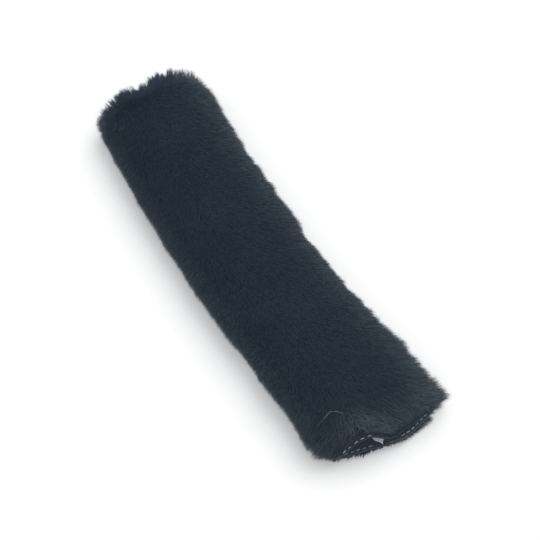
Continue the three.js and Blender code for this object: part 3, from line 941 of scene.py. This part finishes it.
@dataclass
class Pile:
    """The plush's long pile, as fields of fine tapering blades gathered into small locks."""

    form: TubeForm
    lie: PileLie
    lock: float = 0.0030
    fine_lock: float = 0.0019
    fine_past: float = 0.011
    tress: float = 0.011
    droop: float = 0.30
    wander: float = 0.13
    lock_lean: float = 0.04
    tress_lean: float = 0.05
    lock_uneven: float = 0.07
    tress_uneven: float = 0.10
    end_uneven: float = 0.25
    shortest: float = 0.66
    longer: float = 0.46
    root_sunk: float = 0.0003
    end_margin: float = 0.0003
    lowest: tuple[float, float] = (0.0003, 0.0012)
    widths: tuple[float, float] = (0.7, 1.2)
    first_lean: float = 0.45
    second_rise: float = 0.75
    middle_pull: float = 0.35
    tone_scatter: float = 0.08
    # How much the painted sheen pales the strands.
    sheen_painted: float = 0.80
    quick_share: float = 0.35
    seed: int = 11
    patches: tuple[PilePatch, ...] = (
        PilePatch("pile_upper_far", Run.UPPER_PLY, (-1.0, 0.0), 9.6e6),
        PilePatch("pile_upper_mouth", Run.UPPER_PLY, (0.0, 1.0), 9.6e6),
        PilePatch("pile_right_fold", Run.RIGHT_FOLD, (-1.0, 1.0), 12.9e6),
        PilePatch("pile_left_fold", Run.LEFT_FOLD, (-1.0, 1.0), 12.9e6),
        PilePatch("pile_right_flap", Run.RIGHT_FLAP, (-1.0, 1.0), 2.8e6),
        PilePatch("pile_left_flap", Run.LEFT_FLAP, (-1.0, 1.0), 2.8e6),
        PilePatch("hem_fuzz_upper", Run.UPPER_PLY, (0.988, 1.0), 50.0e6, 0.00018),
        PilePatch("hem_fuzz_right", Run.RIGHT_FLAP, (0.968, 1.0), 17.0e6, 0.00014, 1.9),
        PilePatch("hem_fuzz_left", Run.LEFT_FLAP, (0.982, 1.0), 30.0e6, 0.00018, 2.0),
    )

    def _blade(self) -> tuple[Array, Array]:
        """Models one flat tapering blade: a plane, extruded once and drawn to a point.

        Returns:
            Its points, across in X and along in Y from 0 to 1, and its triangles.
        """
        deselect()
        bpy.ops.mesh.primitive_plane_add(size=1.0, location=(0, 0, 0))
        blade = bpy.context.active_object
        bpy.ops.object.mode_set(mode="EDIT")
        bpy.ops.mesh.select_all(action="SELECT")
        bpy.ops.transform.resize(value=(1.0, 0.5, 1.0))
        bpy.ops.transform.translate(value=(0.0, 0.25, 0.0))
        bpy.ops.object.mode_set(mode="OBJECT")
        tip = {vertex.index for vertex in blade.data.vertices if vertex.co.y > 0.4}
        for vertex in blade.data.vertices:
            vertex.select = vertex.index in tip
        for part in (*blade.data.edges, *blade.data.polygons):
            part.select = tip.issuperset(part.vertices)
        bpy.ops.object.mode_set(mode="EDIT")
        bpy.ops.mesh.extrude_region_move(TRANSFORM_OT_translate={"value": (0.0, 0.5, 0.0)})
        bpy.ops.mesh.merge(type="CENTER")
        bpy.ops.object.mode_set(mode="OBJECT")
        return take_mesh(blade)

    def _hash(self, cell: tuple[Array, Array], salt: float) -> Array:
        """A repeatable number from 0 to 1 for each pair of cell numbers."""
        first, second = cell
        mixed = np.sin(first * 12.9898 + second * 78.233 + (salt + self.seed) * 37.719) * 43758.5453
        return mixed - np.floor(mixed)

    def _tossed(self, cell: tuple[Array, Array], salt: float) -> Array:
        """The same number, from -0.5 to 0.5."""
        return self._hash(cell, salt) - 0.5

    def _gather(self, x: Array, round_place: Array, cell: float, salt: float
                ) -> tuple[Array, Array, Array, Array]:
        """Finds the lock that each strand belongs to.

        Args:
            x: The strands' places along the pad.
            round_place: Their distances round the section.
            cell: The locks' size.
            salt: Sets this layer of locks apart from others.

        Returns:
            The way to the lock's middle along the pad and round it, and two cell numbers.
        """
        across, about = np.floor(x / cell), np.floor(round_place / cell)
        best = np.full(x.shape, np.inf)
        found = [np.zeros_like(x), np.zeros_like(x), across.copy(), about.copy()]
        for step_a in (-1, 0, 1):
            for step_b in (-1, 0, 1):
                a, b = across + step_a, about + step_b
                away_x = (a + self._hash((a, b), salt)) * cell - x
                away_round = (b + self._hash((a, b), salt + 1)) * cell - round_place
                far = away_x**2 + away_round**2
                nearer = far < best
                best = np.where(nearer, far, best)
                found = [np.where(nearer, new, old)
                         for new, old in zip((away_x, away_round, a, b), found)]
        return tuple(found)

    def _sow(self, patch: PilePatch, rng: np.random.Generator) -> Strands:
        """Roots the strands of a field and finds their locks.

        Args:
            patch: The field.
            rng: The field's random numbers.

        Returns:
            The strands.
        """
        half = self.form.half
        low = max(patch.places[0] * half, -half + self.end_margin)
        high = min(patch.places[1] * half, half - self.end_margin)
        run = patch.run.value
        arc = math.pi * (self.form.fold_radius + self.form.backing)
        if patch.run not in (Run.RIGHT_FOLD, Run.LEFT_FOLD):
            arc = float(self.form.run_lengths(np.array([0.0]))[run][0])
        density = patch.density * 1.0
        count = int((high - low) * arc * density)
        x = rng.uniform(low, high, count)
        turn = np.clip(run + rng.uniform(0.0, 1.0, count), run, run + 0.9999)
        root, normal, around = self.form.section(x, turn)
        root = root + normal * (self.form.backing - self.root_sunk)
        round_place = turn * arc + run
        large = self._gather(x, round_place, self.lock, 3.0)
        fine = self._gather(x, round_place, self.fine_lock, 5.0)
        ends = np.abs(x) > half - self.fine_past
        away_x, away_round, lock_a, lock_b = (
            np.where(ends, small, big) for small, big in zip(fine, large))
        _, _, *tress = self._gather(x, round_place, self.tress, 7.0)
        to_lock = away_x[:, None] * ALONG + away_round[:, None] * around
        return Strands(x, turn, root, normal, around, to_lock, (lock_a, lock_b), tuple(tress))

    def _ruffled(self, turn: Array) -> Array:
        """How far the pile is from lying evenly, which is most at the right fold."""
        return 0.4 + 0.8 * self.lie.at_fold(turn, 1.5, 0.3, 0.7)

    def _lean(self, strands: Strands, rng: np.random.Generator) -> Array:
        """Which way each strand leans.

        Args:
            strands: The strands.
            rng: The field's random numbers.

        Returns:
            The leans, as vectors along the sheet.
        """
        count = len(strands.x)
        ruffled = self._ruffled(strands.turn)
        leans = []
        for number, combed in enumerate(self.lie.comb(strands.x, strands.turn)):
            of_lock = self.lock_lean * ruffled * self._tossed(strands.lock, 5 + number)
            of_tress = self.tress_lean * ruffled * self._tossed(strands.tress, 9 + number)
            leans.append(combed + of_lock + of_tress + rng.normal(0, self.wander, count))
        return leans[0][:, None] * ALONG + leans[1][:, None] * strands.around

    def _lengths(self, strands: Strands, stretch: float, rng: np.random.Generator) -> Array:
        """How long each strand is.

        Args:
            strands: The strands.
            stretch: How much longer than usual the field's strands are.
            rng: The field's random numbers.

        Returns:
            The lengths.
        """
        x, turn = strands.x, strands.turn
        ruffled = self._ruffled(turn)
        far = 1 - ease(self.form.half + x, 0.0, 0.008)
        pointed = self.lie.gather_at(x, turn) > 0.3
        of_lock = self.lock_uneven * ruffled + self.end_uneven * far + self.end_uneven * pointed
        uneven = (of_lock * self._tossed(strands.lock, 4)
                  + self.tress_uneven * ruffled * self._tossed(strands.tress, 8))
        spread = self.shortest + self.longer * np.sqrt(rng.uniform(0.0, 1.0, len(x)))
        return self.lie.length_at(x, turn) * (1 + uneven) * stretch * spread

    def grow(self, patch: PilePatch, blade: tuple[Array, Array],
             material: bpy.types.Material) -> bpy.types.Object:
        """Grows one field of strands.

        Args:
            patch: The field.
            blade: The master blade's points and triangles.
            material: The pile's material.

        Returns:
            The finished piece.
        """
        rng = np.random.default_rng(self.seed + sum(map(ord, patch.name)))
        strands = self._sow(patch, rng)
        count = len(strands.x)
        lean = self._lean(strands, rng)
        half = 0.5 * self._lengths(strands, patch.stretch, rng)[:, None]
        root, normal = strands.root, strands.normal
        first = unit(normal + self.first_lean * lean)
        second = unit(self.second_rise * normal + lean + np.array([0.0, 0.0, -self.droop]))
        pull = strands.to_lock * self.lie.gather_at(strands.x, strands.turn)[:, None]
        middle = root + first * half
        tip = middle + second * half + pull
        middle = middle + self.middle_pull * pull
        lowest = rng.uniform(*self.lowest, count)
        middle[:, 2] = np.maximum(middle[:, 2], lowest)
        tip[:, 2] = np.maximum(tip[:, 2], lowest)
        flat_side = unit(np.cross(first, normal + 0.3 * ALONG + rng.normal(0, 0.25, (count, 3))))
        other_side = np.cross(first, flat_side)
        spin = rng.uniform(-1.0, 1.0, count)[:, None]
        side = flat_side * np.cos(spin) + other_side * np.sin(spin)
        side = side * (patch.width * rng.uniform(*self.widths, count))[:, None]
        shape, triangles = blade
        made = np.empty((count, len(shape), 3))
        for number, (across, reach, _) in enumerate(shape):
            line = root + (middle - root) * min(1.0, 2 * reach) if reach <= 0.5 else tip
            taper = 1.0 if reach < 0.25 else 0.8
            made[:, number] = line + side * (across * taper)
        faces = (np.arange(count)[:, None, None] * len(shape) + triangles[None]).reshape(-1, 3)
        piece = add_mesh(patch.name, made.reshape(-1, 3), faces)
        # Painted sheen: the strands are painted paler where their nap catches the light, on top of
        # their random paleness.
        bloom = self.lie.painted_sheen_at(strands.x, strands.turn)
        tone = self.tone_scatter * rng.uniform(0.0, 1.0, count) + self.sheen_painted * bloom
        self._write_looks(piece, shape, triangles, tone)
        soft = 0.75 * normal + 0.35 * second
        normals = np.repeat(unit(soft)[:, None], len(shape), axis=1).reshape(-1, 3)
        piece.data.polygons.foreach_set("use_smooth", np.ones(len(faces), bool))
        piece.data.normals_split_custom_set_from_vertices(normals.astype(np.float32))
        dress(piece, material)
        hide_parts("plush_cover")
        return piece

    def _write_looks(self, piece: bpy.types.Object, shape: Array, triangles: Array,
                     tone: Array) -> None:
        """Writes how pale each strand is, at random and by painted sheen, its reach from root to tip,
        and its own spot on the map.

        Args:
            piece: The field of strands.
            shape: The master blade's points.
            triangles: The master blade's triangles.
            tone: How pale each strand is.
        """
        count = len(tone)
        reach = np.tile(shape[:, 1], count)
        for name, values in (("reach", reach), ("tone", np.repeat(tone, len(shape)))):
            layer = piece.data.attributes.new(name, "FLOAT", "POINT")
            layer.data.foreach_set("value", values.astype(np.float32))
        side = math.ceil(math.sqrt(count))
        number = np.repeat(np.arange(count), triangles.size)
        corner = np.tile(triangles.ravel(), count)
        spot_u = (number % side + 0.5 + 0.7 * shape[corner, 0]) / side
        spot_v = (number // side + 0.15 + 0.7 * shape[corner, 1]) / side
        chart = piece.data.uv_layers.new(name="OFBake")
        chart.data.foreach_set("uv", np.stack([spot_u, spot_v], axis=1).astype(np.float32).ravel())

    def build(self) -> list[bpy.types.Object]:
        """Grows every field of the pile."""
        blade = self._blade()
        material = PileFinish().material()
        return [self.grow(patch, blade, material) for patch in self.patches]


@dataclass
class HemStitches:
    """A lockstitch seam round a hem: short pale stitches on both faces of the turned sheet."""

    form: TubeForm
    name: str
    node: str
    end: int
    inset: float = 0.0018
    stitch: float = 0.0022
    pitch: float = 0.0033
    thick: float = 0.00024
    inner_face: float = -0.00058
    outer_face: float = 0.00140
    edge: float = 0.0014
    sunk: float = 0.0011
    drift: float = 0.0007
    end_dip: float = 0.00022
    bare_to: tuple[float, float] = (-0.46, -0.34)
    taped_from: tuple[float, float] = (-0.38, -0.30)
    taped_to: tuple[float, float] = (0.16, 0.24)
    tape_lift: float = 0.0007
    unevenness: float = 0.00012
    slant: float = 0.06

    def _master(self) -> tuple[Array, Array]:
        """Models one stitch: a sphere drawn out along X, with both ends bent down into the cloth.

        Returns:
            Its points and triangles.
        """
        deselect()
        bpy.ops.mesh.primitive_uv_sphere_add(segments=8, ring_count=8, radius=self.thick)
        ball = bpy.context.active_object
        bpy.ops.object.mode_set(mode="EDIT")
        bpy.ops.mesh.select_all(action="SELECT")
        bpy.ops.transform.rotate(value=math.pi / 2, orient_axis="Y", center_override=(0, 0, 0))
        bpy.ops.object.mode_set(mode="OBJECT")
        points, faces = take_mesh(ball)
        stretch = self.stitch / 2 - self.thick
        points[:, 0] += np.sign(np.round(points[:, 0], 7)) * stretch * np.minimum(
            1.0, np.abs(points[:, 0]) / (0.4 * self.thick))
        points[:, 2] -= self.end_dip * (points[:, 0] / (self.stitch / 2)) ** 2
        return points, faces

    def _sinking(self, turn: Array, across: Array, outside: bool) -> tuple[Array, Array]:
        """How deep the stitches lie in the pile, or under the tapes' ends.

        Args:
            turn: Turns round the section.
            across: How far to the side each stitch is.
            outside: Whether the stitches are those of the sheet's outer face.

        Returns:
            The depths, and how bare the upper ply's hem is at each stitch, from 0 to 1.
        """
        if outside:
            above = seen_from_above(turn)
            bare = np.where(above, 1 - ease(across, *self.bare_to), 0.0)
            return np.where(above, self.sunk * (1 - bare), 0.0), bare
        level = np.zeros_like(turn)
        if self.end < 0:
            return level, level
        taped = ease(across, *self.taped_from) * (1 - ease(across, *self.taped_to))
        return np.where(on_flaps(turn), -self.tape_lift * taped, 0.0), level

    def build(self, material: bpy.types.Material) -> bpy.types.Object:
        """Sets the stitches round the hem.

        Args:
            material: The thread's material.

        Returns:
            The finished piece.
        """
        rng = np.random.default_rng(5 + self.end)
        shape, triangles = self._master()
        middle = self.end * (self.form.half - self.inset)
        total = float(self.form.run_lengths(np.array([middle])).sum())
        distance = np.arange(self.edge, total - self.edge, self.pitch)
        made, faces = [], []
        for face, outside in ((self.inner_face, False), (self.outer_face, True)):
            x = np.full(len(distance), middle)
            spots = distance + (self.pitch / 2 if outside else 0.0)
            turn = self.form.turn_at(x, np.clip(spots, self.edge, total - self.edge))
            depth, bare = self._sinking(turn, self.form.across(x, turn), outside)
            at, normal, around = self.form.section(x + self.end * self.drift * bare, turn)
            at = at + normal * (face - depth)[:, None]
            at[:, 0] += rng.normal(0, self.unevenness, len(x))
            slant = rng.normal(0, self.slant, len(x))
            ahead = unit(around + slant[:, None] * ALONG)
            up = normal if outside else -normal
            aside = np.cross(up, ahead)
            block = (at[:, None] + shape[None, :, :1] * ahead[:, None]
                     + shape[None, :, 1:2] * aside[:, None] + shape[None, :, 2:] * up[:, None])
            start = sum(len(part) for part in made)
            made.append(block.reshape(-1, 3))
            offsets = start + np.arange(len(x))[:, None, None] * len(shape)
            faces.append((offsets + triangles[None]).reshape(-1, 3))
        piece = add_mesh(self.name, np.concatenate(made), np.concatenate(faces))
        piece.data.polygons.foreach_set("use_smooth", np.ones(len(piece.data.polygons), bool))
        dress(piece, material)
        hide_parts(self.node)
        return piece


def cut_line(node: str) -> float:
    """Where a tape's slanted cut end begins to fray.

    Args:
        node: The tape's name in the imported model.

    Returns:
        The place along the pad at y = 0, worked out from the tape's own box.
    """
    _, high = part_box(node)
    return high[0] - MOUTH_SLANT * high[1] - FRAY_LENGTH


@dataclass
class Closure:
    """The two closing tapes and the seams that hold them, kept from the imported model."""

    tapes: dict[str, TapeFinish] = field(default_factory=lambda: {
        "hook_tape": TapeFinish("hook_nylon", roughness=0.5, cut_past=cut_line("hook_tape")),
        "loop_tape": TapeFinish("loop_nylon", roughness=0.85)})
    threads: tuple[str, ...] = (
        "loop_tape_thread", "hook_tape_thread_slit_side", "hook_tape_thread_fold_side")

    def dress(self, thread: bpy.types.Material) -> None:
        """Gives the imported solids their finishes.

        Args:
            thread: The sewing thread's material.
        """
        for node, finish in self.tapes.items():
            self._wear(node, finish.material())
        for node in self.threads:
            self._wear(node, thread)

    def _wear(self, node: str, material: bpy.types.Material) -> None:
        """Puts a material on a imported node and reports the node."""
        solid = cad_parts[node]
        solid.data.materials.clear()
        solid.data.materials.append(material)
        log.info("%s: kept, in %s", node, material.name)


@dataclass(frozen=True)
class Fibre:
    """A stray fibre: the places that it bends through, and its thickness."""

    places: tuple[tuple[float, float, float], ...]
    thick: float


@dataclass(frozen=True)
class LintFinish:
    """Pale dust and lint, half sunk in the pile."""

    name: str = "pale_lint"
    dull: Colour = (0.10, 0.13, 0.15)
    pale: Colour = (0.42, 0.44, 0.45)

    def material(self) -> bpy.types.Material:
        """Builds the material."""
        bench = Bench(self.name)
        patches = bench.noise(bench.object_place(), 420.0, 1.0)
        colour = bench.mix(patches * 2.2 - 0.7, self.dull, self.pale)
        return bench.finish(bench.node("ShaderNodeBsdfPrincipled", None, {
            "Base Color": colour, "Roughness": 0.8}))


@dataclass
class Lint:
    """A few pale fibres caught in the pile, and loose thread ends at the mouth."""

    sides: int = 5
    end_share: float = 0.4
    fibres: tuple[Fibre, ...] = (
        Fibre(((0.1120, -0.0289, 0.0220), (0.1114, -0.0257, 0.0218), (0.1103, -0.0223, 0.0226),
               (0.1094, -0.0189, 0.0235), (0.1111, -0.0163, 0.0239), (0.1138, -0.0138, 0.0242)),
              0.00010),
        Fibre(((-0.1254, -0.0341, 0.0162), (-0.1233, -0.0306, 0.0188), (-0.1205, -0.0278, 0.0196)),
              0.00007),
        Fibre(((-0.1160, -0.0286, 0.0204), (-0.1129, -0.0253, 0.0212), (-0.1108, -0.0207, 0.0222)),
              0.00007),
        Fibre(((-0.1221, -0.0232, 0.0212), (-0.1159, -0.0260, 0.0218), (-0.1134, -0.0281, 0.0194)),
              0.00006),
        Fibre(((-0.0113, -0.0046, 0.0237), (-0.0112, -0.0039, 0.0237)), 0.00018),
        Fibre(((-0.0473, 0.0228, 0.0227), (-0.0446, 0.0238, 0.0228), (-0.0434, 0.0253, 0.0228)),
              0.00007),
        Fibre(((0.1355, 0.0018, 0.0086), (0.1360, 0.0030, 0.0088), (0.1362, 0.0056, 0.0084)),
              0.00014),
        Fibre(((0.1362, 0.0067, 0.0076), (0.1372, 0.0098, 0.0070), (0.1377, 0.0123, 0.0074),
               (0.1360, 0.0119, 0.0084)), 0.00015),
        Fibre(((0.1369, 0.0077, 0.0070), (0.1380, 0.0096, 0.0062), (0.1386, 0.0111, 0.0068)),
              0.00014),
    )

    def _strand(self, fibre: Fibre) -> tuple[Array, Array]:
        """Models one fibre: a short cylinder whose end is drawn out from bend to bend.

        Args:
            fibre: The fibre.

        Returns:
            Its points and triangles.
        """
        deselect()
        bpy.ops.mesh.primitive_cylinder_add(
            vertices=self.sides, radius=fibre.thick, depth=1.0, end_fill_type="NGON")
        rod = bpy.context.active_object
        steps = len(fibre.places) - 1
        for step in range(1, steps):
            end = {v.index for v in rod.data.vertices if v.co.z > step - 0.6}
            for vertex in rod.data.vertices:
                vertex.select = vertex.index in end
            for part in (*rod.data.edges, *rod.data.polygons):
                part.select = end.issuperset(part.vertices)
            bpy.ops.object.mode_set(mode="EDIT")
            bpy.ops.mesh.extrude_region_move(TRANSFORM_OT_translate={"value": (0.0, 0.0, 1.0)})
            bpy.ops.object.mode_set(mode="OBJECT")
        points, faces = take_mesh(rod)
        track = np.array(fibre.places)
        level = np.clip(np.round(points[:, 2] + 0.5), 0, steps).astype(int)
        ahead = unit(track[np.minimum(level + 1, steps)] - track[np.maximum(level - 1, 0)])
        aside = unit(np.cross(ahead, np.array([0.0, 0.0, 1.0])))
        rise = np.cross(aside, ahead)
        ends = np.where((level == 0) | (level == steps), self.end_share, 1.0)[:, None]
        return track[level] + ends * (points[:, :1] * aside + points[:, 1:2] * rise), faces

    def build(self) -> bpy.types.Object:
        """Lays the fibres.

        Returns:
            The finished piece.
        """
        made, faces = [], []
        for fibre in self.fibres:
            points, triangles = self._strand(fibre)
            faces.append(triangles + sum(len(part) for part in made))
            made.append(points)
        piece = add_mesh("lint", np.concatenate(made), np.concatenate(faces))
        dress(piece, LintFinish().material())
        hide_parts("plush_cover")
        return piece


@dataclass(frozen=True)
class Studio:
    """A white floor, soft daylight and the camera."""

    azimuth: float = 58.5
    elevation: float = 60.0
    distance: float = 0.5788
    lens: float = 67.0
    target: tuple[float, float, float] = (0.0, 0.0, 0.013)
    slide: tuple[float, float] = (0.0109, -0.0107)
    roll: float = -0.552
    sky: float = 0.70
    key: float = 1.20
    key_from: tuple[float, float, float] = (-0.25, 0.75, 1.0)
    key_angle: float = 0.9
    floor_size: float = 8.0
    floor_colour: Colour = (0.93, 0.935, 0.94)
    floor_glow: float = 0.16
    sensor: float = 36.0

    def build(self) -> None:
        """Builds the stage, the lights and the camera."""
        self._floor()
        self._light()
        self._camera()

    def _floor(self) -> None:
        """Lays the white floor."""
        deselect()
        bpy.ops.mesh.primitive_plane_add(size=self.floor_size, location=(0.0, 0.0, 0.0))
        floor = bpy.context.active_object
        floor.name = "floor"
        bench = Bench("white_floor")
        paper = bench.node("ShaderNodeBsdfDiffuse", None, {"Color": self.floor_colour})
        seen = bench.node("ShaderNodeLightPath", output="Is Camera Ray")
        glow = bench.node("ShaderNodeEmission", None, {
            "Color": (1.0, 1.0, 1.0), "Strength": seen * self.floor_glow})
        floor.data.materials.append(bench.finish(
            bench.node("ShaderNodeAddShader", None, {0: paper, 1: glow})))

    def _light(self) -> None:
        """Sets a broad soft key lamp and an even sky that the camera sees as white."""
        lamp = bpy.data.lights.new("key", "SUN")
        lamp.energy = self.key
        lamp.angle = self.key_angle
        key = bpy.data.objects.new("key", lamp)
        key.rotation_euler = Vector(self.key_from).to_track_quat("Z", "Y").to_euler()
        bpy.context.scene.collection.objects.link(key)
        world = bpy.data.worlds.new("sky")
        bpy.context.scene.world = world
        world.use_nodes = True
        tree = world.node_tree
        tree.nodes.clear()
        seen = tree.nodes.new("ShaderNodeLightPath")
        sky = tree.nodes.new("ShaderNodeBackground")
        sky.inputs["Strength"].default_value = self.sky
        white = tree.nodes.new("ShaderNodeBackground")
        white.inputs["Strength"].default_value = 1.0
        pick = tree.nodes.new("ShaderNodeMixShader")
        out = tree.nodes.new("ShaderNodeOutputWorld")
        for background in (sky, white):
            background.inputs["Color"].default_value = (1.0, 1.0, 1.0, 1.0)
        tree.links.new(seen.outputs["Is Camera Ray"], pick.inputs[0])
        tree.links.new(sky.outputs[0], pick.inputs[1])
        tree.links.new(white.outputs[0], pick.inputs[2])
        tree.links.new(pick.outputs[0], out.inputs["Surface"])

    def _camera(self) -> None:
        """Places the camera at the photograph's viewing angle."""
        turn, rise = math.radians(self.azimuth), math.radians(self.elevation)
        back = Vector((math.sin(turn) * math.cos(rise), -math.cos(turn) * math.cos(rise),
                       math.sin(rise)))
        right = Vector((math.cos(turn), math.sin(turn), 0.0))
        up = back.cross(right)
        target = Vector(self.target) + right * self.slide[0] + up * self.slide[1]
        lens = bpy.data.cameras.new("camera")
        lens.lens = self.lens
        lens.sensor_width = self.sensor
        camera = bpy.data.objects.new("camera", lens)
        camera.location = target + back * self.distance
        aim = back.to_track_quat("Z", "Y").to_matrix()
        camera.rotation_euler = aim.to_euler()
        camera.rotation_euler.rotate_axis("Z", math.radians(self.roll))
        bpy.context.scene.collection.objects.link(camera)
        bpy.context.scene.camera = camera


def report(piece: bpy.types.Object) -> bpy.types.Object:
    """Reports a finished piece and hands it back."""
    log.info("%s: %d faces", piece.name, len(piece.data.polygons))
    return piece


def main() -> None:
    """Builds the scene, piece by piece."""
    logging.basicConfig(level=logging.INFO, format="%(name)s: %(message)s")
    Studio().build()
    bpy.context.scene.view_settings.view_transform = "Standard"
    form = TubeForm()
    sheet = report(BackingSheet(form).build())
    fields = [report(pile) for pile in Pile(form, PileLie(form)).build()]
    thread = ThreadFinish("grey_thread").material()
    report(HemStitches(form, "mouth_hem_stitches", "mouth_hem_thread", 1).build(thread))
    report(HemStitches(form, "far_hem_stitches", "far_hem_thread", -1).build(thread))
    Closure().dress(thread)
    fields.append(report(Lint().build()))


if __name__ == "__main__":
    main()
